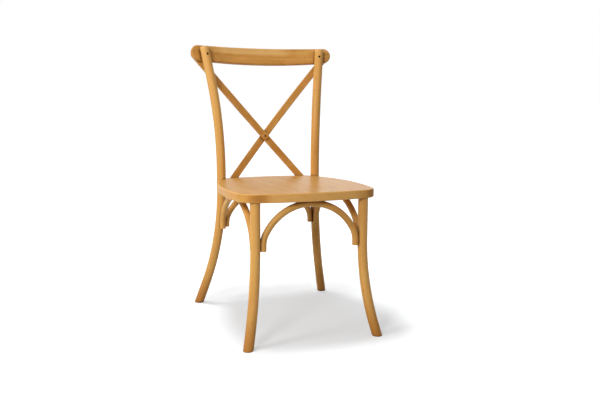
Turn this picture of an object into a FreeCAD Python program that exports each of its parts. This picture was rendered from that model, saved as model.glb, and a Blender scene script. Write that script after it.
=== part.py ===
import FreeCAD, Part
import math
import os

Vec = FreeCAD.Vector

# Cross back dining chair in bent wood.
# Millimetres. X runs to the right as the chair is seen from the front, the sitter faces -Y, and Z is up.
# Left and right are the sides as seen from the front. The chair stands on Z = 0.

# Seat board
seat_top = 446.0             # height of the sitting face
seat_thickness = 26.0
seat_half_width = 224.0      # at the widest place of the sides
seat_front = 252.0           # middle of the front edge, ahead of the drawing's zero
front_edge_radius = 900.0
seat_rear = 216.0            # middle of the rear edge, behind the drawing's zero
rear_edge_radius = 800.0
side_widest_front = 85.0     # the sides run straight between these two places
side_widest_rear = 50.0
side_front_radius = 600.0
side_rear_radius = 450.0
front_corner_radius = 60.0
rear_corner_radius = 24.0
seat_edge_round = 3.5

# Bent rods: the rear posts run from floor to rail, the front legs stop under the seat
rod_radius = 15.0
post_x = 168.8               # the upright run beside the seat
post_y = 186.0
post_top = 884.0
post_upright_above_seat = 20.0
post_foot_bend_radius = 830.0
post_foot_bend = 24.0        # degrees
post_foot_heading = 53.5     # degrees from X towards +Y
post_back_bend_radius = 1162.0
post_back_bend = 16.3
post_back_heading = 58.8
leg_x = 168.9
leg_y = 215.6
leg_knee = 293.0             # height where a front leg starts to splay
leg_foot_bend_radius = 804.0
leg_foot_bend = 19.25
leg_foot_heading = 50.6      # degrees from X towards -Y
rod_end_round = 1.5
tenon_radius = 10.0
tenon_length = 18.0
tenon_relief = 1.0           # air over the top of a tenon in its blind hole
wood_gap = 0.2               # air between a piece of wood and the hollow that takes it

# Crest rail
rail_length = 501.0
rail_height = 58.0           # in the middle
rail_end_radius = 26.0
rail_thickness = 18.0
rail_front_radius = 955.0    # the backward bow of its front face
rail_centre_height = 869.0
rail_saddle = 0.6            # how deep a post beds into the rail
rail_edge_round = 4.0

# Crossing laths
lath_width = 23.5
lath_thickness = 10.0
lath_edge_round = 2.5
lath_head_round = 9.0
cross_height = 584.0
cross_y = 241.0
cross_gap = 0.2              # air between the two laths where they cross
lath_foot_x = 129.5          # at the middle of the seat's thickness
lath_foot_y = 203.0
lath_head_x = 239.0          # at the middle of the rail's height
lath_head_reach = 5.0        # how far a lath runs on past the middle of the rail's height
lath_head_letting = 2.5      # depth of a lath's housing in the back of the rail
lath_spare = 36.0            # a lath's blank runs on this far past both its ends

# Button over the crossing
button_radius = 13.0
button_height = 4.5
button_round = 1.5

# Arched braces under the seat
arch_radius = 10.0           # of the rod
front_arch_end = 277.0       # height of its lower ends
rear_arch_end = 282.0
side_arch_end = 278.0
front_arch_straight = 15.0   # upright run above each end
rear_arch_straight = 10.0
side_arch_straight = 6.0
cross_arch_shoulder = 0.657  # front and rear arches: shoulder radius as a share of the arch's rise
side_arch_shoulder = 0.678
arch_cope = 1.5              # how deep an arch end is hollowed to the leg
arch_flat = 0.8              # how much is planed off the crown under the seat

# Wood screws, connector bolts and barrel nuts
screw_radius = 2.0
screw_head_radius = 4.0
screw_point = 4.0
screw_gap = 0.1
screw_cover = 4.0            # wood left beyond the point of a screw
sink_depth = 1.0             # countersunk heads lie this far under the surface
rail_screw_height = 858.0    # where it crosses the post's axis
rail_screw_sink = 7.0        # the open holes in the post fronts
cross_screw_sink = 3.0       # the open hole in the button
seat_screw_grip = 24.0       # how far a screw runs into the seat
cross_arch_screw_rise = 6.0  # front and rear arches: height of a screw above the arch's end
side_arch_screw_rise = 20.0  # higher, so that the screws pass over each other inside a leg
plug_length = 4.0            # wood that closes the hole over an arch end's screw
plug_gap = 0.05
bolt_radius = 3.0
bolt_head_radius = 7.0
bolt_head_height = 3.0
nut_radius = 5.0
nut_length = 16.0
nut_distance = 37.0          # from the post's axis
bolt_beyond_nut = 9.0

# Allowances for cutters and for telling edges apart
cut_over = 1.0               # how far a cutter stands out of a face that it opens
same_length = 0.5            # lengths that differ by less are taken as equal

# What follows from the sizes above
seat_bottom = seat_top - seat_thickness
seat_middle = seat_top - seat_thickness / 2
up = Vec(0, 0, 1)
sides = (("left", -1), ("right", 1))
arch_names = ("front", "rear", "left", "right")


def limb(x, y, knee, bend_radius, bend, heading, way):
    """A rod that stands upright at x, y and splays past its knee: way is 1 upward and -1 downward."""
    angle = math.radians(heading)
    return {"foot": Vec(x, y, knee), "radius": bend_radius, "bend": math.radians(bend),
            "towards": Vec(math.cos(angle), math.sin(angle), 0), "way": way}


def axis_at(part, height):
    """Point on a limb's axis at a height, and the axis direction there, pointing up."""
    rise = max(0.0, (height - part["foot"].z) * part["way"])
    bent_rise = part["radius"] * math.sin(part["bend"])
    if rise < bent_rise:
        rest = math.sqrt(part["radius"] ** 2 - rise ** 2)
        out = part["radius"] - rest
        slope = rise / rest
    else:
        slope = math.tan(part["bend"])
        out = part["radius"] * (1 - math.cos(part["bend"])) + (rise - bent_rise) * slope
    point = Vec(part["foot"].x, part["foot"].y, height) + part["towards"] * out
    return point, (up + part["towards"] * (slope * part["way"])).normalize()


def post_limbs(side):
    """The two splayed limbs of a rear post: down to its foot and up to the rail."""
    low = limb(side * post_x, post_y, seat_bottom, post_foot_bend_radius, post_foot_bend,
               post_foot_heading if side > 0 else 180 - post_foot_heading, -1)
    high = limb(side * post_x, post_y, seat_top + post_upright_above_seat, post_back_bend_radius,
                post_back_bend, post_back_heading if side > 0 else 180 - post_back_heading, 1)
    return low, high


def leg_limb(side):
    """The splayed limb of a front leg."""
    heading = -leg_foot_heading if side > 0 else 180 + leg_foot_heading
    return limb(side * leg_x, -leg_y, leg_knee, leg_foot_bend_radius, leg_foot_bend, heading, -1)


def bent_rod(start, direction, steps, radius):
    """Round rod from start: a step is a straight length, or (bend radius, degrees, turning axis)."""
    point = Vec(start)
    heading = Vec(direction).normalize()
    solid = None
    for step in steps:
        face = Part.Face(Part.Wire(Part.makeCircle(radius, point, heading)))
        if isinstance(step, tuple):
            bend_radius, degrees, axis = step
            centre = point + axis.cross(heading).normalize() * bend_radius
            piece = face.revolve(centre, axis, degrees)
            turn = FreeCAD.Rotation(axis, degrees)
            point = centre + turn.multVec(point - centre)
            heading = turn.multVec(heading)
        else:
            piece = face.extrude(heading * step)
            point = point + heading * step
        solid = piece if solid is None else solid.fuse(piece)
    return solid.removeSplitter()


def limb_rod(part, end_height, radius):
    """The splayed run of a limb as a solid rod, ending square to its axis at a height."""
    direction = up * part["way"]
    axis = direction.cross(part["towards"])
    rise = (end_height - part["foot"].z) * part["way"]
    tail = (rise - part["radius"] * math.sin(part["bend"])) / math.cos(part["bend"])
    steps = [(part["radius"], math.degrees(part["bend"]), axis), tail]
    return bent_rod(part["foot"], direction, steps, radius)


def upright(x, y, low, high, radius):
    """Straight upright rod between two heights."""
    return Part.makeCylinder(radius, high - low, Vec(x, y, low))


def post_rod(side, radius):
    """A whole rear post, below the floor too, with a given rod radius."""
    low, high = post_limbs(side)
    rod = upright(side * post_x, post_y, low["foot"].z, high["foot"].z, radius)
    rod = rod.fuse([limb_rod(low, -radius, radius), limb_rod(high, post_top, radius)])
    return rod.removeSplitter()


def leg_rod(side, radius):
    """A whole front leg up to the seat, below the floor too, with a given rod radius."""
    rod = upright(side * leg_x, -leg_y, leg_knee, seat_bottom, radius)
    return rod.fuse(limb_rod(leg_limb(side), -radius, radius)).removeSplitter()


def cut_at_floor(solid):
    """Level the foot with the floor and break its edge."""
    box = solid.BoundBox
    margin = rod_radius
    waste = Part.makeBox(box.XLength + 2 * margin, box.YLength + 2 * margin, margin - box.ZMin,
                         Vec(box.XMin - margin, box.YMin - margin, box.ZMin - margin))
    solid = solid.cut(waste)
    rim = [edge for edge in solid.Edges if edge.BoundBox.ZMax < same_length]
    return solid.makeChamfer(rod_end_round, rim)


def corner_between(first, second, radius):
    """Small arc inside the corner of two circles: its centre, and where it touches each of them.

    A circle is (x, y, radius). Of their two corners, the one left of the line from first to second.
    """
    span = math.hypot(second[0] - first[0], second[1] - first[1])
    from_first = first[2] - radius
    from_second = second[2] - radius
    along = (span ** 2 + from_first ** 2 - from_second ** 2) / (2 * span)
    aside = math.sqrt(from_first ** 2 - along ** 2)
    unit = ((second[0] - first[0]) / span, (second[1] - first[1]) / span)
    centre = (first[0] + unit[0] * along - unit[1] * aside, first[1] + unit[1] * along + unit[0] * aside)
    touches = []
    for circle in (first, second):
        reach = math.hypot(centre[0] - circle[0], centre[1] - circle[1])
        touches.append((centre[0] + (centre[0] - circle[0]) / reach * radius,
                        centre[1] + (centre[1] - circle[1]) / reach * radius))
    return centre, touches[0], touches[1]


def plan_arc(centre, start, end):
    """Shorter arc about a centre between two points of the seat's plan, as an edge at its underside."""
    middle = ((start[0] + end[0]) / 2 - centre[0], (start[1] + end[1]) / 2 - centre[1])
    stretch = math.hypot(start[0] - centre[0], start[1] - centre[1]) / math.hypot(middle[0], middle[1])
    through = (centre[0] + middle[0] * stretch, centre[1] + middle[1] * stretch)
    return Part.Arc(Vec(start[0], start[1], seat_bottom), Vec(through[0], through[1], seat_bottom),
                    Vec(end[0], end[1], seat_bottom)).toShape()


def on_side(side, point):
    """A point of the plan's right half as it lies on a side."""
    return side * point[0], point[1]


def seat_outline():
    """Seat seen from above: swelling sides that draw in to the rear, bowed front and rear edges."""
    front = (0, front_edge_radius - seat_front, front_edge_radius)
    rear = (0, seat_rear - rear_edge_radius, rear_edge_radius)
    side_front = (seat_half_width - side_front_radius, -side_widest_front, side_front_radius)
    side_rear = (seat_half_width - side_rear_radius, -side_widest_rear, side_rear_radius)
    front_corner = corner_between(front, side_front, front_corner_radius)
    rear_corner = corner_between(side_rear, rear, rear_corner_radius)
    widest_front = (seat_half_width, -side_widest_front)
    widest_rear = (seat_half_width, -side_widest_rear)
    edges = []
    for name, side in sides:
        for centre, start, end in (front_corner, (side_front, front_corner[2], widest_front),
                                   (side_rear, widest_rear, rear_corner[1]), rear_corner):
            edges.append(plan_arc(on_side(side, centre), on_side(side, start), on_side(side, end)))
        edges.append(Part.LineSegment(Vec(*on_side(side, widest_front), seat_bottom),
                                      Vec(*on_side(side, widest_rear), seat_bottom)).toShape())
    edges.append(plan_arc(front, on_side(-1, front_corner[1]), front_corner[1]))
    edges.append(plan_arc(rear, on_side(-1, rear_corner[2]), rear_corner[2]))
    return Part.Wire(Part.__sortEdges__(edges))


def seat_blank():
    """The seat board before anything is let into it."""
    board = Part.Face(seat_outline()).extrude(up * seat_thickness)
    rims = [edge for edge in board.Edges if edge.BoundBox.ZLength < seat_edge_round]
    return board.makeFillet(seat_edge_round, rims)


# Crest rail: drawn in its own plane, then leaned back with the posts

def rail_placement():
    """Stands on the posts' axes at the rail's height and leans as they do."""
    point, direction = axis_at(post_limbs(1)[1], rail_centre_height)
    lean = math.degrees(math.atan2(direction.y, direction.z))
    return FreeCAD.Placement(Vec(0, point.y, point.z), FreeCAD.Rotation(Vec(1, 0, 0), -lean))


def rail_front_depth(x):
    """How far behind the posts' axes the rail's front face lies, at a distance from the middle."""
    post_at_rail = axis_at(post_limbs(1)[1], rail_centre_height)[0].x
    reach = rail_front_radius - rod_radius + rail_saddle
    middle = rail_front_radius - math.sqrt(reach ** 2 - post_at_rail ** 2)
    return middle - rail_front_radius + math.sqrt(rail_front_radius ** 2 - x ** 2)


def rail_point(x, behind, height):
    """A point given by its place across the rail, its depth behind the front face and its height."""
    return rail_placement().multVec(Vec(x, rail_front_depth(x) + behind, height))


def rail_normal(x):
    """Backward normal of the rail's faces, at a distance from the middle."""
    tilt = math.asin(x / rail_front_radius)
    return rail_placement().Rotation.multVec(Vec(math.sin(tilt), math.cos(tilt), 0))


def crown_radius(half_span, rise, shoulder):
    """Radius of the crown arc of a three-centred arch."""
    return ((half_span - shoulder) ** 2 + rise ** 2 - shoulder ** 2) / (2 * (rise - shoulder))


def rail_elevation():
    """Rail seen from the front: long shallow arcs above and below, and round ends tangent to them."""
    half = rail_length / 2
    rise = rail_height / 2
    crown = crown_radius(half, rise, rail_end_radius)
    end_centre = half - rail_end_radius
    turn = math.atan2(end_centre, crown - rise)
    join_x = end_centre + rail_end_radius * math.sin(turn)
    join_z = rail_end_radius * math.cos(turn)
    arcs = []
    for side in (-1, 1):
        arcs.append(Part.Arc(Vec(-join_x, 0, side * join_z), Vec(0, 0, side * rise),
                             Vec(join_x, 0, side * join_z)))
        arcs.append(Part.Arc(Vec(side * join_x, 0, join_z), Vec(side * half, 0, 0),
                             Vec(side * join_x, 0, -join_z)))
    return Part.Wire(Part.__sortEdges__([arc.toShape() for arc in arcs]))


def rail_blank():
    """Bowed plank cut to the rail's elevation, with rounded edges."""
    reach = rail_length / 2 + rail_thickness
    end = rail_front_depth(reach)
    middle = rail_front_depth(0)
    tilt = math.asin(reach / rail_front_radius)
    back_reach = reach + rail_thickness * math.sin(tilt)
    back_end = end + rail_thickness * math.cos(tilt)
    base = -rail_height
    plan = [Part.Arc(Vec(-reach, end, base), Vec(0, middle, base), Vec(reach, end, base)),
            Part.LineSegment(Vec(reach, end, base), Vec(back_reach, back_end, base)),
            Part.Arc(Vec(back_reach, back_end, base), Vec(0, middle + rail_thickness, base),
                     Vec(-back_reach, back_end, base)),
            Part.LineSegment(Vec(-back_reach, back_end, base), Vec(-reach, end, base))]
    plank = Part.Face(Part.Wire([edge.toShape() for edge in plan])).extrude(up * (2 * rail_height))
    elevation = Part.Face(rail_elevation())
    depth = middle - end + 2 * rail_thickness
    elevation.translate(Vec(0, end - rail_thickness / 2, 0))
    rail = plank.common(elevation.extrude(Vec(0, depth, 0)))
    rail = rail.makeFillet(rail_edge_round, rail.Edges)
    rail.Placement = rail_placement()
    return rail


# Laths

def lath_curve(side, front):
    """Arc of a lath's middle line, from its foot on one side over the crossing to its head on the other."""
    behind = rail_thickness + lath_thickness / 2 - lath_head_letting
    step = (lath_thickness + cross_gap) / 2
    foot = Vec(-side * lath_foot_x, lath_foot_y, seat_middle)
    crossing = Vec(0, cross_y + (-step if front else step), cross_height)
    head = rail_point(side * lath_head_x, behind, 0)
    return Part.ArcOfCircle(foot, crossing, head), crossing


def lath_frame(side, front):
    """Arc, crossing point and the directions across, through and along the lath at the crossing."""
    curve, crossing = lath_curve(side, front)
    along = curve.Axis.cross(crossing - curve.Center).normalize()
    through = Vec(0, along.z, -along.y).normalize()
    return curve, crossing, through.cross(along).normalize(), through, along


def turn_between(curve, start, end):
    """Degrees about the arc's axis from one point to another."""
    a = start - curve.Center
    b = end - curve.Center
    return math.degrees(math.atan2(a.cross(b).dot(curve.Axis), a.dot(b)))


def lath_blank(side, front, grow, behind=0.0):
    """A square-edged lath, grown by a clearance and thickened backward, that runs on past both ends."""
    curve, crossing, across, through, along = lath_frame(side, front)
    half_width = lath_width / 2 + grow
    face = -lath_thickness / 2 - grow
    back = lath_thickness / 2 + grow + behind
    corners = [crossing + across * (half_width * a) + through * b
               for a, b in ((-1, face), (1, face), (1, back), (-1, back), (-1, face))]
    section = Part.Face(Part.makePolygon(corners))
    spare = math.degrees(lath_spare / curve.Radius)
    below = turn_between(curve, curve.StartPoint, crossing) + spare
    above = turn_between(curve, crossing, curve.EndPoint) + spare
    start = section.rotated(curve.Center, curve.Axis, -below)
    return start.revolve(curve.Center, curve.Axis, below + above)


def lath_housing(side, front):
    """What a lath takes out of the seat's rear edge or the rail's back: a groove open to the rear."""
    return lath_blank(side, front, wood_gap, lath_thickness)


def lath_axes_at(side, front, point):
    """Across, through and along directions of a lath at a point of its arc."""
    curve, crossing, across, through, along = lath_frame(side, front)
    turn = FreeCAD.Rotation(curve.Axis, turn_between(curve, crossing, point))
    return turn.multVec(across), turn.multVec(through), turn.multVec(along)


def lath_point(side, front, height):
    """Point on a lath's arc at a height, closed in on by halving."""
    curve = lath_curve(side, front)[0]
    low = curve.FirstParameter
    high = curve.LastParameter
    for halving in range(40):
        middle = (low + high) / 2
        if curve.value(middle).z < height:
            low = middle
        else:
            high = middle
    return curve.value((low + high) / 2)


def lath(side, front):
    """A lath with its round head behind the rail and its foot level with the seat's underside."""
    solid = lath_blank(side, front, 0)
    head = lath_curve(side, front)[0].EndPoint
    across, through, along = lath_axes_at(side, front, head)
    beyond = Part.makeBox(2 * lath_width, 2 * lath_width, 2 * lath_width, Vec(-lath_width, -lath_width, 0))
    beyond.Placement = FreeCAD.Placement(head + along * lath_head_reach,
                                         FreeCAD.Rotation(across, through, along, "ZXY"))
    under = Part.makeBox(4 * lath_width, 4 * lath_width, 2 * lath_width,
                         Vec(-side * lath_foot_x - 2 * lath_width, lath_foot_y - 2 * lath_width,
                             seat_bottom - 2 * lath_width))
    solid = solid.cut([beyond, under])
    ends = [edge for edge in solid.Edges if abs(edge.Length - lath_thickness) < same_length
            and (edge.CenterOfMass - head).Length < lath_width]
    solid = solid.makeFillet(lath_head_round, ends)
    rims = [edge for edge in solid.Edges if edge.BoundBox.ZMax > seat_bottom + same_length
            and abs(edge.Length - lath_thickness) > same_length]
    return solid.makeFillet(lath_edge_round, rims)


# Arches

def arch_rod(name):
    """Three-centred arch between its two ends, planed flat where it meets the seat's underside."""
    start, end = arch_ends(name)
    turning_axis = up.cross((end - start).normalize())
    low, straight, shoulder_share = arch_shape(name)
    half_span = (end - start).Length / 2
    rise = seat_bottom + arch_flat - arch_radius - low - straight
    shoulder_radius = shoulder_share * rise
    crown = crown_radius(half_span, rise, shoulder_radius)
    half_crown = math.degrees(math.atan2(half_span - shoulder_radius, crown - rise))
    shoulder = (shoulder_radius, 90 - half_crown, turning_axis)
    steps = [straight, shoulder, (crown, 2 * half_crown, turning_axis), shoulder, straight]
    rod = bent_rod(start, up, steps, arch_radius)
    over = Part.makeBox(2 * half_span + 4 * arch_radius, 2 * half_span + 4 * arch_radius, 2 * arch_radius,
                        Vec((start.x + end.x) / 2 - half_span - 2 * arch_radius,
                            (start.y + end.y) / 2 - half_span - 2 * arch_radius, seat_bottom))
    return rod.cut(over)


def arch_shape(name):
    """Height of an arch's ends, its upright run above them and the share of its rise in the shoulder."""
    if name == "front":
        return front_arch_end, front_arch_straight, cross_arch_shoulder
    if name == "rear":
        return rear_arch_end, rear_arch_straight, cross_arch_shoulder
    return side_arch_end, side_arch_straight, side_arch_shoulder


def arch_ends(name):
    """Lower ends of an arch's axis, each beside the leg that it is fastened to."""
    low, straight, shoulder_share = arch_shape(name)
    rear = axis_at(post_limbs(1)[0], low + straight)[0]
    stand = rod_radius + arch_radius - arch_cope
    if name == "front":
        x = leg_x - stand
        return Vec(-x, -leg_y, low), Vec(x, -leg_y, low)
    if name == "rear":
        x = rear.x - math.sqrt(stand ** 2 - (rear.y - post_y) ** 2)
        return Vec(-x, post_y, low), Vec(x, post_y, low)
    x = leg_x * dict(sides)[name]
    y = rear.y - math.sqrt(stand ** 2 - (rear.x - leg_x) ** 2)
    return Vec(x, -leg_y + stand, low), Vec(x, y, low)


def arch_legs(name):
    """The two rods, enlarged by the gap, that an arch's ends are hollowed to."""
    radius = rod_radius + wood_gap
    if name == "front":
        return [leg_rod(-1, radius), leg_rod(1, radius)]
    if name == "rear":
        return [post_rod(-1, radius), post_rod(1, radius)]
    side = dict(sides)[name]
    return [leg_rod(side, radius), post_rod(side, radius)]


def arch_limbs(name):
    """The same two rods as splayed limbs, in the order of the arch's ends."""
    if name == "front":
        return leg_limb(-1), leg_limb(1)
    if name == "rear":
        return post_limbs(-1)[0], post_limbs(1)[0]
    side = dict(sides)[name]
    return leg_limb(side), post_limbs(side)[0]


# Fasteners, each given by the middle of its head's face, its direction and its length

def screw(head, direction, length):
    """Countersunk wood screw."""
    cone = screw_head_radius - screw_radius
    solid = Part.makeCone(screw_head_radius, screw_radius, cone, head, direction)
    solid = solid.fuse(Part.makeCylinder(screw_radius, length - cone - screw_point,
                                         head + direction * cone, direction))
    tip = Part.makeCone(screw_radius, 0, screw_point, head + direction * (length - screw_point), direction)
    return solid.fuse(tip).removeSplitter()


def screw_bore(head, direction, length, access):
    """The hole for a screw, open for a length in front of its head."""
    cone = screw_head_radius - screw_radius
    wide = screw_head_radius + screw_gap
    narrow = screw_radius + screw_gap
    bore = Part.makeCone(wide, narrow, cone, head, direction)
    bore = bore.fuse([Part.makeCylinder(wide, access, head - direction * access, direction),
                      Part.makeCylinder(narrow, length - cone + screw_gap, head + direction * cone, direction)])
    return bore.removeSplitter()


def rail_post_screws():
    """From the open hole in a post's front, through the post into the rail."""
    places = []
    for name, side in sides:
        axis = axis_at(post_limbs(side)[1], rail_screw_height)[0]
        direction = rail_normal(axis.x)
        head = axis - direction * (rod_radius - rail_screw_sink)
        length = 2 * rod_radius - rail_screw_sink - rail_saddle + rail_thickness - screw_cover
        places.append((head, direction, length))
    return places


def rail_lath_screws():
    """From behind a lath's head into the rail."""
    places = []
    for side, front in ((-1, True), (1, False)):
        curve = lath_curve(side, front)[0]
        from_head = lath_width / 2 - lath_head_reach
        point = curve.value(curve.LastParameter - from_head / curve.Radius)
        through = lath_axes_at(side, front, point)[1]
        length = lath_thickness - sink_depth - lath_head_letting + rail_thickness - screw_cover
        places.append((point + through * (lath_thickness / 2 - sink_depth), through * -1, length))
    return places


def seat_lath_screws():
    """From behind a lath's foot into the rear edge of the seat."""
    places = []
    for side, front in ((-1, True), (1, False)):
        point = lath_point(side, front, seat_middle)
        through = lath_axes_at(side, front, point)[1]
        level = Vec(through.x, through.y, 0).normalize()
        length = lath_thickness - sink_depth + seat_screw_grip
        places.append((point + through * (lath_thickness / 2 - sink_depth), level * -1, length))
    return places


def cross_screws():
    """Through the button and the front lath into the rear lath."""
    curve, crossing, across, through, along = lath_frame(-1, True)
    head = crossing - through * (lath_thickness / 2 + cross_gap + button_height - cross_screw_sink)
    length = button_height + 2 * lath_thickness + 2 * cross_gap - cross_screw_sink - screw_cover / 2
    return [(head, through, length)]


def arch_end_screws(name):
    """From inside an arch's end through it into the leg, its head sunk under a plug."""
    rise = cross_arch_screw_rise if name in ("front", "rear") else side_arch_screw_rise
    height = arch_shape(name)[0] + rise
    places = []
    for end, part in zip(arch_ends(name), arch_limbs(name)):
        axis = axis_at(part, height)[0]
        start = Vec(end.x, end.y, height)
        reach = (axis - start).Length
        direction = (axis - start).normalize()
        length = arch_radius - plug_length + reach + rod_radius - screw_cover
        places.append((start - direction * (arch_radius - plug_length), direction, length))
    return places


def arch_end_plugs(name):
    """Wooden plugs over the screws in an arch's ends, flush with the rod."""
    plugs = []
    for head, direction, length in arch_end_screws(name):
        dowel = Part.makeCylinder(screw_head_radius + screw_gap - plug_gap, arch_radius, head, direction * -1)
        plugs.append(dowel.common(arch_rod(name)))
    return plugs


def arch_crown_screw(name):
    """Up through an arch's crown into the seat."""
    start, end = arch_ends(name)
    middle = (start + end) * 0.5
    bottom = seat_bottom + arch_flat - 2 * arch_radius
    length = 2 * arch_radius - arch_flat - sink_depth + seat_thickness - 2 * screw_cover
    return Vec(middle.x, middle.y, bottom + sink_depth), up, length


def seat_bolt_line(side):
    """Post axis at the middle of the seat's edge, and the level direction square to that edge."""
    axis = Vec(side * post_x, post_y, seat_middle)
    inward = Vec(side * (seat_half_width - side_rear_radius) - axis.x, -side_widest_rear - post_y, 0)
    return axis, inward.normalize()


def seat_bolt(side, gap):
    """Connector bolt with a flat head sunk in the post's outer side, or its hole where a gap is given."""
    axis, inward = seat_bolt_line(side)
    head = axis - inward * (rod_radius - sink_depth)
    access = rod_radius if gap > 0 else 0
    length = rod_radius - sink_depth + nut_distance + bolt_beyond_nut
    disc = Part.makeCylinder(bolt_head_radius + gap, bolt_head_height + access,
                             head - inward * access, inward)
    return disc.fuse(Part.makeCylinder(bolt_radius + gap, length + gap, head, inward)).removeSplitter()


def barrel_nut(side, gap):
    """Cross-drilled barrel nut, or its hole from the seat's underside where a gap is given."""
    axis, inward = seat_bolt_line(side)
    centre = axis + inward * nut_distance
    low = seat_bottom if gap > 0 else seat_middle - nut_length / 2
    return Part.makeCylinder(nut_radius + gap, seat_middle + nut_length / 2 + gap - low,
                             Vec(centre.x, centre.y, low))


# Finished pieces

def of_side(side, pair):
    """Of a pair that names the left first, the one on a side."""
    return pair[0] if side < 0 else pair[1]


def bores(places, access):
    """The holes of several screws, each open for a length in front of its head."""
    return [screw_bore(head, direction, length, access) for head, direction, length in places]


def make_seat():
    cutters = [post_rod(side, rod_radius + wood_gap) for name, side in sides]
    cutters += [lath_housing(-1, True), lath_housing(1, False)]
    cutters += [upright(side * leg_x, -leg_y, seat_bottom - cut_over,
                        seat_bottom + tenon_length + tenon_relief, tenon_radius + wood_gap)
                for name, side in sides]
    cutters += bores(seat_lath_screws(), 2 * lath_thickness)
    cutters += bores([arch_crown_screw(name) for name in arch_names], arch_radius)
    cutters += [seat_bolt(side, screw_gap) for name, side in sides]
    cutters += [barrel_nut(side, screw_gap) for name, side in sides]
    return seat_blank().cut(cutters)


def make_post(side):
    post = cut_at_floor(post_rod(side, rod_radius))
    top = [edge for edge in post.Edges if edge.BoundBox.ZMin > post_top - rod_radius
           and abs(edge.Length - 2 * math.pi * rod_radius) < same_length]
    post = post.makeFillet(rod_end_round, top)
    rear_end = of_side(side, arch_end_screws("rear"))
    side_end = arch_end_screws(of_side(side, ("left", "right")))[1]
    cutters = bores([of_side(side, rail_post_screws())], rod_radius)
    cutters += bores([rear_end, side_end], arch_radius)
    cutters.append(seat_bolt(side, screw_gap))
    return post.cut(cutters)


def make_leg(side):
    leg = cut_at_floor(leg_rod(side, rod_radius))
    tenon = upright(side * leg_x, -leg_y, seat_bottom, seat_bottom + tenon_length, tenon_radius)
    leg = leg.fuse(tenon)
    front_end = of_side(side, arch_end_screws("front"))
    side_end = arch_end_screws(of_side(side, ("left", "right")))[0]
    return leg.cut(bores([front_end, side_end], arch_radius))


def make_rail():
    cutters = [post_rod(side, rod_radius + wood_gap) for name, side in sides]
    cutters += [lath_housing(-1, True), lath_housing(1, False)]
    cutters += bores(rail_post_screws(), rod_radius)
    cutters += bores(rail_lath_screws(), lath_thickness)
    return rail_blank().cut(cutters)


def make_lath(side, front):
    own_screws = [of_side(side, rail_lath_screws()), of_side(side, seat_lath_screws())]
    cutters = bores(own_screws, 2 * lath_thickness)
    cutters += bores(cross_screws(), lath_thickness)
    return lath(side, front).cut(cutters)


def make_button():
    curve, crossing, across, through, along = lath_frame(-1, True)
    base = crossing - through * (lath_thickness / 2 + cross_gap)
    disc = Part.makeCylinder(button_radius, button_height, base, through * -1)
    face = max(disc.Faces, key=lambda f: -f.CenterOfMass.dot(through))
    disc = disc.makeFillet(button_round, face.Edges)
    return disc.cut(bores(cross_screws(), button_height))


def make_arch(name):
    arch = arch_rod(name).cut(arch_legs(name))
    return arch.cut(bores(arch_end_screws(name) + [arch_crown_screw(name)], arch_radius))


def group(solids):
    """Like pieces as one node of separate solids."""
    return Part.makeCompound(solids)


def screws(places):
    """Screws at several places as one node."""
    return group([screw(head, direction, length) for head, direction, length in places])


def chair():
    """Every piece by the name of its node."""
    pieces = {"seat": make_seat(), "crest_rail": make_rail(),
              "cross_lath_front": make_lath(-1, True), "cross_lath_rear": make_lath(1, False),
              "cross_button": make_button()}
    for name, side in sides:
        pieces["rear_post_" + name] = make_post(side)
        pieces["front_leg_" + name] = make_leg(side)
    for name in arch_names:
        pieces["arch_" + name] = make_arch(name)
    pieces["rail_post_screws"] = screws(rail_post_screws())
    pieces["rail_lath_screws"] = screws(rail_lath_screws())
    pieces["seat_lath_screws"] = screws(seat_lath_screws())
    pieces["cross_screw"] = screws(cross_screws())
    ends = [place for name in arch_names for place in arch_end_screws(name)]
    pieces["arch_end_screws"] = screws(ends)
    pieces["arch_end_plugs"] = group([plug for name in arch_names for plug in arch_end_plugs(name)])
    pieces["arch_crown_screws"] = screws([arch_crown_screw(name) for name in arch_names])
    pieces["seat_bolts"] = group([seat_bolt(side, 0) for name, side in sides])
    pieces["seat_barrel_nuts"] = group([barrel_nut(side, 0).cut(seat_bolt(side, screw_gap))
                                        for name, side in sides])
    return pieces


def centred(pieces):
    """Move the whole chair so that Y = 0 is the middle of its depth."""
    box = FreeCAD.BoundBox()
    for shape in pieces.values():
        box.add(shape.optimalBoundingBox(True, False))
    for shape in pieces.values():
        shape.translate(Vec(0, -box.Center.y, 0))
    return pieces


os.makedirs("parts", exist_ok=True)
for node, shape in centred(chair()).items():
    shape.exportStep("parts/" + node + ".step")
    print(node, "solids", len(shape.Solids), "volume", round(shape.Volume), "valid", shape.isValid())
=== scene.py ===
import math
import bpy
from mathutils import Matrix, Vector


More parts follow.
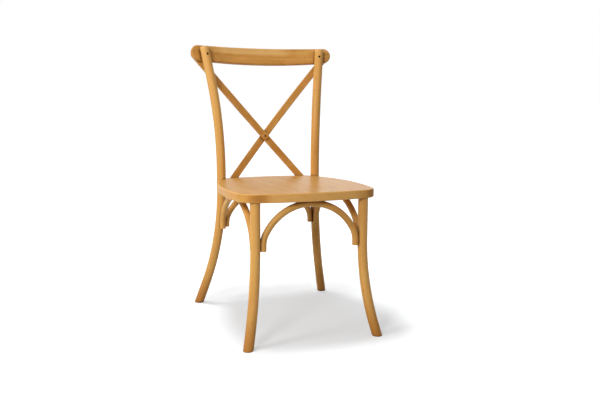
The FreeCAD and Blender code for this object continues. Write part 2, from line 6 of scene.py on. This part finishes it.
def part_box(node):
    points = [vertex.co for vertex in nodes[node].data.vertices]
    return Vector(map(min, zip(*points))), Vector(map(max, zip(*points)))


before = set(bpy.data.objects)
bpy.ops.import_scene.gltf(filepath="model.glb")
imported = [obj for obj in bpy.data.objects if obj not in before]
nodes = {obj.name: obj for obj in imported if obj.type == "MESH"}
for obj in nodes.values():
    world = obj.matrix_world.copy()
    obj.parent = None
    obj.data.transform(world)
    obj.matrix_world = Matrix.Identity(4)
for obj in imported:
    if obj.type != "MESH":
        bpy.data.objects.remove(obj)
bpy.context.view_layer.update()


# Wire is one output of a shader node. Sums, products and the like on it add Math nodes.
class Wire:
    def __init__(self, tree, socket):
        self.tree = tree
        self.socket = socket

    def node(self, kind, settings=None, sockets=None, out=0):
        made = self.tree.nodes.new(kind)
        for name, value in (settings or {}).items():
            setattr(made, name, value)
        for name, value in (sockets or {}).items():
            if isinstance(value, Wire):
                self.tree.links.new(value.socket, made.inputs[name])
            else:
                made.inputs[name].default_value = value
        return Wire(self.tree, made.outputs[out] if len(made.outputs) else None)

    def maths(self, operation, *values):
        return self.node("ShaderNodeMath", {"operation": operation}, dict(enumerate(values)))

    def __add__(self, other):
        return self.maths("ADD", self, other)

    def __radd__(self, other):
        return self.maths("ADD", other, self)

    def __sub__(self, other):
        return self.maths("SUBTRACT", self, other)

    def __rsub__(self, other):
        return self.maths("SUBTRACT", other, self)

    def __mul__(self, other):
        return self.maths("MULTIPLY", self, other)

    def __rmul__(self, other):
        return self.maths("MULTIPLY", other, self)

    def __truediv__(self, other):
        return self.maths("DIVIDE", self, other)

    def __rtruediv__(self, other):
        return self.maths("DIVIDE", other, self)

    def __pow__(self, other):
        return self.maths("POWER", self, other)

    def __rpow__(self, other):
        return self.maths("POWER", other, self)

    def __lt__(self, other):
        return self.maths("LESS_THAN", self, other)

    def __gt__(self, other):
        return self.maths("GREATER_THAN", self, other)

    def __abs__(self):
        return self.maths("ABSOLUTE", self)

    def atLeast(self, low):
        return self.maths("MAXIMUM", self, low)

    def atMost(self, high):
        return self.maths("MINIMUM", self, high)

    def root(self):
        return self.maths("SQRT", self)

    def sine(self):
        return self.maths("SINE", self)

    def sign(self):
        return self.maths("SIGN", self)

    def whole(self):
        return self.maths("FLOOR", self)

    def angle(self, other):
        return self.maths("ARCTAN2", self, other)

    def nowhere(self):  # 0 over the whole surface
        return self * 0.0

    def step(self, low, high):  # 0 below low, 1 above high, smooth between
        return self.node("ShaderNodeMapRange", {"interpolation_type": "SMOOTHSTEP"},
                         {0: self, 1: low, 2: high, 3: 0.0, 4: 1.0})

    def between(self, first, second):  # self as the share of the second number
        return first + self * (second - first)

    def colours(self, first, second):  # self as the share of the second colour
        pair = [colour if isinstance(colour, Wire) else (*colour, 1) for colour in (first, second)]
        return self.node("ShaderNodeMix", {"data_type": "RGBA"}, {0: self, 6: pair[0], 7: pair[1]}, 2)

    def vector(self, operation, *values, out=0):
        return self.node("ShaderNodeVectorMath", {"operation": operation}, dict(enumerate(values)), out)

    def dot(self, direction):
        return self.vector("DOT_PRODUCT", self, tuple(direction), out=1)

    def axes(self):  # the three numbers of a vector
        split = self.node("ShaderNodeSeparateXYZ", None, {0: self})
        return [Wire(self.tree, output) for output in split.socket.node.outputs]

    def joined(self, x, y, z):
        return self.node("ShaderNodeCombineXYZ", None, {0: x, 1: y, 2: z})

    def point(self):  # place on the chair, in metres
        return self.node("ShaderNodeTexCoord", out=3)

    def normal(self):  # the way the surface faces
        return self.node("ShaderNodeNewGeometry", out=1)

    def noise(self, scale, detail, rough):
        return self.node("ShaderNodeTexNoise", None,
                         {"Vector": self, "Scale": scale, "Detail": detail, "Roughness": rough})


def shaderOf(block):  # the emptied node tree of a material or the world
    block.use_nodes = True
    block.node_tree.nodes.clear()
    return Wire(block.node_tree, None)


def linear(red, green, blue):  # a colour as a picture editor shows it, to the shader's own scale
    shares = [value / 255 for value in (red, green, blue)]
    return tuple(share / 12.92 if share <= 0.04045 else ((share + 0.055) / 1.055) ** 2.4 for share in shares)


# Wood. A place function turns a point of the chair into the piece's own grain lines:
# across and through the grain, along it, how much of the surface shows cut fibre ends,
# and how far the stain is rubbed away. On the posts' tops and the seat's edges that
# rubbed share is painted light.

woodLook = {
    "pale": linear(220, 168, 93),
    "honey": linear(203, 142, 66),
    "rosy": linear(222, 154, 88),
    "straw": linear(216, 174, 96),
    "amber": linear(162, 98, 32),
    "pore": linear(104, 58, 16),
    "pith": (0.021, 0.034),  # how far off the middle of the tree lies
    "ringSpacing": 0.0042,
    "ringSharpness": 2.2,
    "ringSway": 0.016,
    "ringTurn": 0.020,
    "ringSlope": 0.010,
    "ringShare": 0.26,
    "streakShare": 0.55,
    "bandShare": 0.55,
    "tintShare": 0.30,       # rosy and straw clouds
    "patchShare": 0.34,
    "speckShare": 0.42,
    "poreShare": 0.36,
    "earlyPores": 0.35,      # pores between the rings, against those in them
    "endShare": 0.45,
    "endFacing": (0.80, 0.95),
    # rubbed colour: wear on the rail, a painted highlight on the posts' tops
    "worn": linear(232, 188, 122),
    "wornShare": 0.55,
    "cornerPaintedShade": linear(92, 46, 10),
    "cornerShadeShare": 0.75,     # painted shade in the corners where pieces meet, with stain gathered there
    "cornerShadeReach": 0.012,
    "cornerShadeSamples": 8,
    "roughness": 0.46,
    "streakRough": 0.16,
    "poreRough": 0.12,
    "endRough": 0.08,
    "specular": 0.15,
    "coat": 0.03,
    "coatRoughness": 0.24,
    "bump": 0.00006,
    "bumpStrength": 1.0,
}

grainLayers = {  # stretch along the grain, scale, detail, roughness
    "sway": (0.12, 9.0, 2.0, 0.5),
    "turn": (0.12, 3.1, 1.0, 0.5),
    "streak": (0.022, 150.0, 4.0, 0.62),
    "band": (0.05, 46.0, 2.0, 0.5),
    "patch": (0.35, 16.0, 3.0, 0.60),
    "tint": (0.50, 34.0, 2.0, 0.5),
    "speck": (0.40, 185.0, 1.0, 0.4),
    "fleck": (0.035, 1250.0, 2.0, 0.55),
}
grainRanges = {  # where each layer starts to show, and where it is at its full
    "streak": (0.30, 0.72),
    "band": (0.42, 0.74),
    "rosy": (0.54, 0.66),
    "straw": (0.34, 0.46),   # the other way round, full below
    "patch": (0.50, 0.76),
    "speck": (0.70, 0.78),
    "pore": (0.60, 0.70),
    "open": (0.35, 0.95),    # how open a corner is, from full painted shade to none
}
grainHeights = {"streak": 0.5, "fleck": 0.35, "pore": 0.5, "band": 0.8}
seedSteps = (0.37, 0.61, 1.0)  # how far a seed moves a piece through the wood


def grainLayer(grain, name):
    stretch, scale, detail, rough = grainLayers[name]
    return grain.vector("MULTIPLY", grain, (1, 1, stretch)).noise(scale, detail, rough)


def woodMaterial(name, look, place, seed):
    material = bpy.data.materials.new(name)
    start = shaderOf(material)
    across, through, along, end, worn = place(start.point())
    grain = start.joined(*(line + seed * step for line, step in zip((across, through, along), seedSteps)))

    ringX = across + look["pith"][0] + (grainLayer(grain, "sway") - 0.5) * look["ringSway"]
    ringY = through + look["pith"][1] + (grainLayer(grain, "turn") - 0.5) * look["ringTurn"]
    ringY = ringY + along * look["ringSlope"]
    distance = (ringX * ringX + ringY * ringY).root()
    wave = (distance * (2 * math.pi / look["ringSpacing"])).sine() * 0.5 + 0.5
    ring = wave ** look["ringSharpness"]

    streak, band, patch, tint, speck, fleck = (
        grainLayer(grain, layer) for layer in ("streak", "band", "patch", "tint", "speck", "fleck"))
    pore = fleck.step(*grainRanges["pore"]) * ring.between(look["earlyPores"], 1.0)

    share = streak.step(*grainRanges["streak"]) * look["streakShare"] + ring * look["ringShare"]
    colour = share.colours(look["pale"], look["honey"])
    colour = (band.step(*grainRanges["band"]) * look["bandShare"]).colours(colour, look["honey"])
    colour = (tint.step(*grainRanges["rosy"]) * look["tintShare"]).colours(colour, look["rosy"])
    colour = ((1 - tint.step(*grainRanges["straw"])) * look["tintShare"]).colours(colour, look["straw"])
    colour = (patch.step(*grainRanges["patch"]) * look["patchShare"]).colours(colour, look["amber"])
    colour = (speck.step(*grainRanges["speck"]) * look["speckShare"]).colours(colour, look["amber"])
    # amber where fibre ends show; on the legs it darkens towards the floor, and on the seat it fills the
    # corner blotches, the right one partly painted shade
    colour = (end * look["endShare"]).colours(colour, look["amber"])
    # paler where rubbed; on the posts' tops and the seat's rim and front and rear faces this is painted
    # light
    colour = (worn * look["wornShare"]).colours(colour, look["worn"])
    colour = (pore * look["poreShare"]).colours(colour, look["pore"])
    # painted shade: the corners where pieces meet are darkened, with stain gathered there
    corner = start.node("ShaderNodeAmbientOcclusion", {"samples": look["cornerShadeSamples"]},
                        {"Distance": look["cornerShadeReach"]}, out=1)
    stainAndShade = (1 - corner.step(*grainRanges["open"])) * look["cornerShadeShare"]
    colour = stainAndShade.colours(colour, look["cornerPaintedShade"])

    rough = look["roughness"] + (streak - 0.5) * look["streakRough"]
    rough = rough + pore * look["poreRough"] + end * look["endRough"]
    height = streak * grainHeights["streak"] + fleck * grainHeights["fleck"]
    height = height - pore * grainHeights["pore"] + band * grainHeights["band"]
    relief = start.node("ShaderNodeBump", None,
                        {"Strength": look["bumpStrength"], "Distance": look["bump"], "Height": height})
    shader = start.node("ShaderNodeBsdfPrincipled", None, {
        "Base Color": colour, "Roughness": rough, "Normal": relief, "Specular IOR Level": look["specular"],
        "Coat Weight": look["coat"], "Coat Roughness": look["coatRoughness"]})
    start.node("ShaderNodeOutputMaterial", None, {"Surface": shader})
    return material


def dress(node, material):
    for slot in nodes[node].material_slots:
        slot.material = material


# Bent rods, in metres and degrees. A limb leaves the upright at the height of its knee,
# bends through so many degrees at a radius, and splays towards its heading.

rodLimbs = {
    "post": {"x": 0.1688, "y": 0.17018,
             "low": {"knee": 0.420, "radius": 0.830, "bend": 24.0, "heading": 53.5},
             "high": {"knee": 0.466, "radius": 1.162, "bend": 16.3, "heading": 58.8}},
    "leg": {"x": 0.1689, "y": -0.23142,
            "low": {"knee": 0.293, "radius": 0.804, "bend": 19.25, "heading": -50.6}},
}
rodLook = {
    **woodLook,
    "endFacing": (0.80, 0.93),
    "foot": (0.005, 0.15),       # heights between which the darker amber towards the floor fades out
    "footDarkening": 1.5,
    "top": (0.868, 0.886),       # heights between which the painted highlight on the posts' tops fades in
    "topWear": 0.7,
}


def limbOut(height, limb, way):  # how far a limb has splayed at a height, with way -1 down and 1 up
    bend = math.radians(limb["bend"])
    rise = ((height - limb["knee"]) * way).atLeast(0.0)
    bent = rise.atMost(limb["radius"] * math.sin(bend))
    return limb["radius"] - (limb["radius"] ** 2 - bent * bent).root() + (rise - bent) * math.tan(bend)


def rodPlace(rod, side):
    def place(point):
        x, y, z = point.axes()
        across = x * side - rod["x"]
        through = y - rod["y"]
        for name, way in (("low", -1), ("high", 1)):
            if name in rod:
                out = limbOut(z, rod[name], way)
                heading = math.radians(rod[name]["heading"])
                across = across - out * math.cos(heading)
                through = through - out * math.sin(heading)
        facing = abs(point.normal().axes()[2]).step(*rodLook["endFacing"])
        # darker and more amber towards the floor
        foot = 1 - z.step(*rodLook["foot"])
        # the posts' tops painted paler: a painted highlight
        worn = z.step(*rodLook["top"]) * rodLook["topWear"]
        return across, through, z, facing.atLeast(foot * rodLook["footDarkening"]), worn
    return place


# Arches under the seat: upright ends, two shoulders and a crown, in one upright plane

arches = {
    "top": 0.4108,         # height of the rod's axis at the crown
    "rodRadius": 0.010,
    "sawnDepth": 0.0005,   # an end's sawn face is told from the rod within this height
    "front": {"end": 0.277, "spring": 0.292, "shoulder": 0.0780},
    "rear": {"end": 0.282, "spring": 0.292, "shoulder": 0.0780},
    "side": {"end": 0.278, "spring": 0.284, "shoulder": 0.0860},
}


def archPlace(middle, halfSpan, plane, shape, alongX):
    rise = arches["top"] - shape["spring"]
    shoulder = shape["shoulder"]
    crown = ((halfSpan - shoulder) ** 2 + rise ** 2 - shoulder ** 2) / (2 * (rise - shoulder))
    halfCrown = math.atan2(halfSpan - shoulder, crown - rise)

    def place(point):
        x, y, z = point.axes()
        span = (x if alongX else y) - middle
        across = (y if alongX else x) - plane
        away = abs(span)
        over = z - (arches["top"] - crown)
        inCrown = away < over * math.tan(halfCrown)
        crownOut = (away * away + over * over).root() - crown
        reach = away - (halfSpan - shoulder)
        lift = (z - shape["spring"]).atLeast(0.0)
        shoulderOut = (reach * reach + lift * lift).root() - shoulder
        through = inCrown * crownOut + (1 - inCrown) * shoulderOut
        crownRun = away.angle(over) * crown
        below = (shape["spring"] - z).atLeast(0.0)
        shoulderRun = crown * halfCrown + (math.pi / 2 - halfCrown - lift.angle(reach)) * shoulder + below
        run = (inCrown * crownRun + (1 - inCrown) * shoulderRun) * span.sign()
        return across, through, run, z < shape["end"] + arches["sawnDepth"], z.nowhere()
    return place


# Laths: each bends in one circle through its foot, the crossing and its head

lathPoints = {
    "front": {"foot": (0.1295, 0.18718, 0.433), "crossing": (0.0, 0.22008, 0.584),
              "head": (-0.239, 0.2556, 0.8624)},
    "rear": {"foot": (-0.1295, 0.18718, 0.433), "crossing": (0.0, 0.23028, 0.584),
             "head": (0.239, 0.2556, 0.8624)},
}


def circleThrough(first, second, third):  # centre, radius and axis
    a, b, c = (Vector(point) for point in (first, second, third))
    normal = (b - a).cross(c - a)
    centre = a + ((c - a).length_squared * normal.cross(b - a)
                  + (b - a).length_squared * (c - a).cross(normal)) / (2 * normal.length_squared)
    return centre, (a - centre).length, normal.normalized()


def lathPlace(points):
    centre, radius, axis = circleThrough(points["foot"], points["crossing"], points["head"])
    outward = (Vector(points["crossing"]) - centre).normalized()
    ahead = axis.cross(outward)

    def place(point):
        reach = point.vector("SUBTRACT", point, tuple(centre))
        out = reach.dot(outward)
        on = reach.dot(ahead)
        through = (out * out + on * on).root() - radius
        end = abs(point.normal().dot(ahead)).step(*woodLook["endFacing"])
        return reach.dot(axis), through, on.angle(out) * radius, end, out.nowhere()
    return place


# Crest rail: a bowed plank that leans with the posts, rubbed pale along its top

railShape = {
    "y": 0.2294,
    "z": 0.869,
    "lean": 14.04,
    "radius": 0.955,   # of the bow of its front face
    "front": 0.0369,   # how far back that face stands at the middle
}
railLook = {
    **woodLook,
    "pale": linear(206, 150, 78),
    "honey": linear(184, 124, 50),
    "rubbedHeight": (0.001, 0.011),
    "rubbedMiddle": -0.035,
    "rubbedReach": (0.09, 0.16),
}


def railPlace(point):
    x, y, z = point.axes()
    lean = math.radians(railShape["lean"])
    behind = y - railShape["y"]
    above = z - railShape["z"]
    back = behind * math.cos(lean) - above * math.sin(lean)
    height = behind * math.sin(lean) + above * math.cos(lean)
    depth = back + (railShape["radius"] - railShape["front"])
    through = (x * x + depth * depth).root() - railShape["radius"]
    end = abs(point.normal().axes()[0]).step(*railLook["endFacing"])
    aside = abs(x - railLook["rubbedMiddle"]).step(*railLook["rubbedReach"])
    worn = height.step(*railLook["rubbedHeight"]) * (1 - aside)
    return height, through, x.angle(depth) * railShape["radius"], end, worn


# Seat: the grain of boards glued side by side, running from front to rear

seatLook = {
    **woodLook,
    "pale": linear(214, 161, 84),
    "honey": linear(198, 140, 68),
    "rosy": linear(212, 150, 84),
    "straw": linear(208, 164, 90),
    "boardWidth": 0.0745,
    "boardSlope": 0.35,      # how unlike each other the boards are
    "boardDepth": 0.21,
    "boardShift": 2.7,
    "boardSeed": 3.0,
    "middle": 0.433,         # height of the middle of the seat's thickness
    "blotches": (            # place, full within, gone beyond: the front corners drink the most stain, and the right corner's blotch is partly painted shade
        ((-0.164, -0.244, 0.434), 0.012, 0.050),
        ((0.200, -0.215, 0.434), 0.020, 0.090)),
    "endShare": 0.60,
    # the paler colour laid on the rim and on the front and rear faces: painted light
    "worn": linear(240, 184, 112),
    "frontFacing": (0.55, 0.95),
    "frontPaintedLight": 0.75,       # the front and rear faces are painted paler: painted light
    "rimLow": (0.25, 0.60),  # how far up the surface faces where the rim's painted highlight line starts
    "rimHigh": (0.90, 0.99),  # and where it ends
    "rimHeight": (0.430, 0.434),
    "roughness": 0.36,
    "specular": 0.08,
    "coatRoughness": 0.18,
}


def seatPlace(point):
    x, y, z = point.axes()
    board = (x / seatLook["boardWidth"] + 0.5).whole()
    own = board.node("ShaderNodeTexWhiteNoise", {"noise_dimensions": "1D"},
                     {"W": board + seatLook["boardSeed"]})
    across = x - board * seatLook["boardWidth"] + own * seatLook["boardSlope"]
    through = z - seatLook["middle"] + own * seatLook["boardDepth"]
    forward, up = (abs(axis) for axis in point.normal().axes()[1:])
    # amber blotches at the front corners: stain, and at the right corner partly painted shade
    stainAndShade = x.nowhere()
    for middle, core, edge in seatLook["blotches"]:
        spread = point.vector("DISTANCE", point, middle, out=1).step(core, edge)
        stainAndShade = stainAndShade.atLeast((1 - spread) * (1 - up))
    # a painted highlight along the rounded top edge of the seat
    paintedRimHighlight = up.step(*seatLook["rimLow"]) * (1 - up.step(*seatLook["rimHigh"]))
    paintedRimHighlight = paintedRimHighlight * z.step(*seatLook["rimHeight"])
    # front and rear faces painted paler: painted light standing in for light from the front
    front = forward.step(*seatLook["frontFacing"]) * (1 - stainAndShade) * seatLook["frontPaintedLight"]
    return across, through, y + own * seatLook["boardShift"], stainAndShade, paintedRimHighlight.atLeast(front)


# The button's grain runs from side to side, and the plugs' grain upright

def buttonPlace(point):
    x, y, z = point.axes()
    return z, y, x, x.nowhere(), x.nowhere()


def plugPlace(point):
    x, y, z = point.axes()
    return x, y, z, x.nowhere(), x.nowhere()


dress("seat", woodMaterial("seatWood", seatLook, seatPlace, seed=1.3))
for number, (side, sign) in enumerate((("left", -1), ("right", 1))):
    post = woodMaterial("postWood_" + side, rodLook, rodPlace(rodLimbs["post"], sign), seed=2.1 + number)
    leg = woodMaterial("legWood_" + side, rodLook, rodPlace(rodLimbs["leg"], sign), seed=4.6 + number)
    dress("rear_post_" + side, post)
    dress("front_leg_" + side, leg)
print("seat, posts and legs dressed")


def dressArch(node, shape, alongX, plane, seed):
    low, high = (Vector(corner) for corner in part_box(node))
    axis = 0 if alongX else 1
    middle = (low[axis] + high[axis]) / 2
    halfSpan = (high[axis] - low[axis]) / 2 - arches["rodRadius"]
    place = archPlace(middle, halfSpan, plane, arches[shape], alongX)
    dress(node, woodMaterial(node.replace("arch_", "archWood_"), woodLook, place, seed))


dressArch("arch_front", "front", alongX=True, plane=rodLimbs["leg"]["y"], seed=7.2)
dressArch("arch_rear", "rear", alongX=True, plane=rodLimbs["post"]["y"], seed=8.4)
dressArch("arch_left", "side", alongX=False, plane=-rodLimbs["leg"]["x"], seed=9.1)
dressArch("arch_right", "side", alongX=False, plane=rodLimbs["leg"]["x"], seed=10.7)

dress("crest_rail", woodMaterial("railWood", railLook, railPlace, seed=12.5))
for name, seed in (("front", 13.2), ("rear", 15.9)):
    place = lathPlace(lathPoints[name])
    dress("cross_lath_" + name, woodMaterial("lathWood_" + name, railLook, place, seed))
dress("cross_button", woodMaterial("buttonWood", railLook, buttonPlace, seed=17.0))
dress("arch_end_plugs", woodMaterial("plugWood", woodLook, plugPlace, seed=19.3))
print("arches, rail and laths dressed")


# Screws, bolts and barrel nuts: dark, dull steel, and a browned screw in the button

steelLook = {
    "steel": linear(58, 50, 42),
    "worn": linear(96, 84, 70),
    "wornShare": 0.6,
    "cloud": (420.0, 3.0, 0.6),      # scale, detail, roughness
    "clouded": (0.45, 0.75),
    "scratch": (2600.0, 2.0, 0.5),
    "scratchStretch": 0.2,
    "roughness": 0.45,
    "cloudRough": 0.25,
    "scratchRough": 0.1,
    "bump": 0.00003,
    "bumpStrength": 0.6,
}
brownedLook = {
    **steelLook,
    "steel": linear(112, 72, 36),
    "worn": linear(142, 98, 54),
    "roughness": 0.50,
}


def steelMaterial(name, look):
    material = bpy.data.materials.new(name)
    start = shaderOf(material)
    point = start.point()
    cloud = point.noise(*look["cloud"])
    scratch = point.vector("MULTIPLY", point, (1, 1, look["scratchStretch"])).noise(*look["scratch"])
    colour = (cloud.step(*look["clouded"]) * look["wornShare"]).colours(look["steel"], look["worn"])
    rough = look["roughness"] + (cloud - 0.5) * look["cloudRough"] + (scratch - 0.5) * look["scratchRough"]
    relief = start.node("ShaderNodeBump", None,
                        {"Strength": look["bumpStrength"], "Distance": look["bump"], "Height": scratch})
    shader = start.node("ShaderNodeBsdfPrincipled", None,
                        {"Base Color": colour, "Metallic": 1.0, "Roughness": rough, "Normal": relief})
    start.node("ShaderNodeOutputMaterial", None, {"Surface": shader})
    return material


steel = steelMaterial("darkSteel", steelLook)
for node in ("rail_post_screws", "rail_lath_screws", "seat_lath_screws", "arch_end_screws",
             "arch_crown_screws", "seat_bolts", "seat_barrel_nuts"):
    dress(node, steel)
dress("cross_screw", steelMaterial("brownedSteel", brownedLook))
print("fasteners dressed")


# Floor, world and lamps

studio = {
    "floorSize": 60.0,
    "floorColour": (0.41, 0.42, 0.43),
    "floorRoughness": 0.9,
    "floorSpecular": 0.1,
    "floorTooth": (900.0, 2.0, 0.5),  # scale, detail, roughness
    "floorBump": 0.0001,
    "floorBumpStrength": 0.3,
    "floorLift": 0.43,       # glow of the floor at the chair, for the camera and mirrors alone
    "fade": (0.30, 0.80),    # distances between which the floor fades to plain white
    "worldGrey": 0.25,
    "lamps": {
        "overhead": {"place": (-0.05, 0.0, 2.4), "target": (0.0, 0.0, 0.40), "size": 0.9, "watts": 9.0},
        "key": {"place": (-1.9, -0.50, 1.50), "target": (0.0, 0.0, 0.62), "size": 0.6, "watts": 18.0},
        "front": {"place": (-1.65, -1.95, 1.6), "target": (0.0, 0.0, 0.60), "size": 0.7, "watts": 32.0},
        "rear": {"place": (-1.4, 2.3, 1.9), "target": (0.0, 0.0, 0.55), "size": 1.0, "watts": 13.0},
        # low and dim, for the sheen on the far side of the seat
        "sheen": {"place": (1.6, 2.6, 0.85), "target": (0.1, 0.0, 0.45), "size": 1.2, "watts": 2.6},
        # lights the floor alone, so that the chair's shadow shows on it
        "floorShade": {"place": (-0.28, 0.0, 2.2), "target": (0.0, 0.0, 0.0), "size": 0.45, "watts": 38.0},
    },
}


def seenDirectly(start):  # 1 for the camera, mirrors and glass, 0 for light that falls on the chair
    rays = start.node("ShaderNodeLightPath").socket.node.outputs
    camera, glossy, through = (Wire(start.tree, rays[name])
                               for name in ("Is Camera Ray", "Is Glossy Ray", "Is Transmission Ray"))
    return camera.atLeast(glossy).atLeast(through)


def floorPaper():
    material = bpy.data.materials.new("floorPaper")
    start = shaderOf(material)
    point = start.point()
    tooth = point.noise(*studio["floorTooth"])
    relief = start.node("ShaderNodeBump", None, {
        "Strength": studio["floorBumpStrength"], "Distance": studio["floorBump"], "Height": tooth})
    away = point.vector("LENGTH", point, out=1).step(*studio["fade"])
    glow = seenDirectly(start) * away.between(studio["floorLift"], 1.0)
    paper = start.node("ShaderNodeBsdfPrincipled", None, {
        "Base Color": (*studio["floorColour"], 1), "Roughness": studio["floorRoughness"],
        "Specular IOR Level": studio["floorSpecular"], "Normal": relief,
        "Emission Color": glow, "Emission Strength": 1.0})
    start.node("ShaderNodeOutputMaterial", None, {"Surface": paper})
    return material


def makeFloor():
    half = studio["floorSize"] / 2
    corners = [(-half, -half, 0), (half, -half, 0), (half, half, 0), (-half, half, 0)]
    mesh = bpy.data.meshes.new("floor")
    mesh.from_pydata(corners, [], [(0, 1, 2, 3)])
    floor = bpy.data.objects.new("floor", mesh)
    bpy.context.collection.objects.link(floor)
    mesh.materials.append(floorPaper())
    return floor


def makeWorld():
    world = bpy.data.worlds.new("studio")
    bpy.context.scene.world = world
    start = shaderOf(world)
    strength = seenDirectly(start).between(studio["worldGrey"], 1.0)
    back = start.node("ShaderNodeBackground", None, {"Color": (1, 1, 1, 1), "Strength": strength})
    start.node("ShaderNodeOutputWorld", None, {"Surface": back})


def makeLamps(floor):
    floorAlone = bpy.data.collections.new("floorAlone")
    floorAlone.objects.link(floor)
    for name, settings in studio["lamps"].items():
        lamp = bpy.data.lights.new(name, "AREA")
        lamp.shape = "DISK"
        lamp.size = settings["size"]
        lamp.energy = settings["watts"]
        thing = bpy.data.objects.new(name, lamp)
        thing.location = settings["place"]
        beam = Vector(settings["target"]) - Vector(settings["place"])
        thing.rotation_euler = beam.to_track_quat("-Z", "Y").to_euler()
        bpy.context.collection.objects.link(thing)
        if name == "floorShade":
            thing.light_linking.receiver_collection = floorAlone


cameraView = {  # metres, degrees and millimetres
    "place": (-0.718045, -2.10263, 0.705717),
    "yaw": -20.106,
    "pitch": 8.115,
    "roll": 0.241,
    "lens": 41.58,
    "film": 36.0,
}


def makeCamera():
    turn, dip, roll = (math.radians(cameraView[name]) for name in ("yaw", "pitch", "roll"))
    back = Vector((math.sin(turn) * math.cos(dip), -math.cos(turn) * math.cos(dip), math.sin(dip)))
    right = Vector((math.cos(turn), math.sin(turn), 0))
    above = back.cross(right)
    sideways = right * math.cos(roll) + above * math.sin(roll)
    upward = above * math.cos(roll) - right * math.sin(roll)
    turned = Matrix((sideways, upward, back)).transposed().to_4x4()
    camera = bpy.data.cameras.new("camera")
    camera.lens = cameraView["lens"]
    camera.sensor_width = cameraView["film"]
    thing = bpy.data.objects.new("camera", camera)
    thing.matrix_world = Matrix.Translation(cameraView["place"]) @ turned
    bpy.context.collection.objects.link(thing)
    bpy.context.scene.camera = thing


floor = makeFloor()
makeWorld()
makeLamps(floor)
makeCamera()
bpy.context.scene.view_settings.view_transform = "Standard"
print("studio ready")
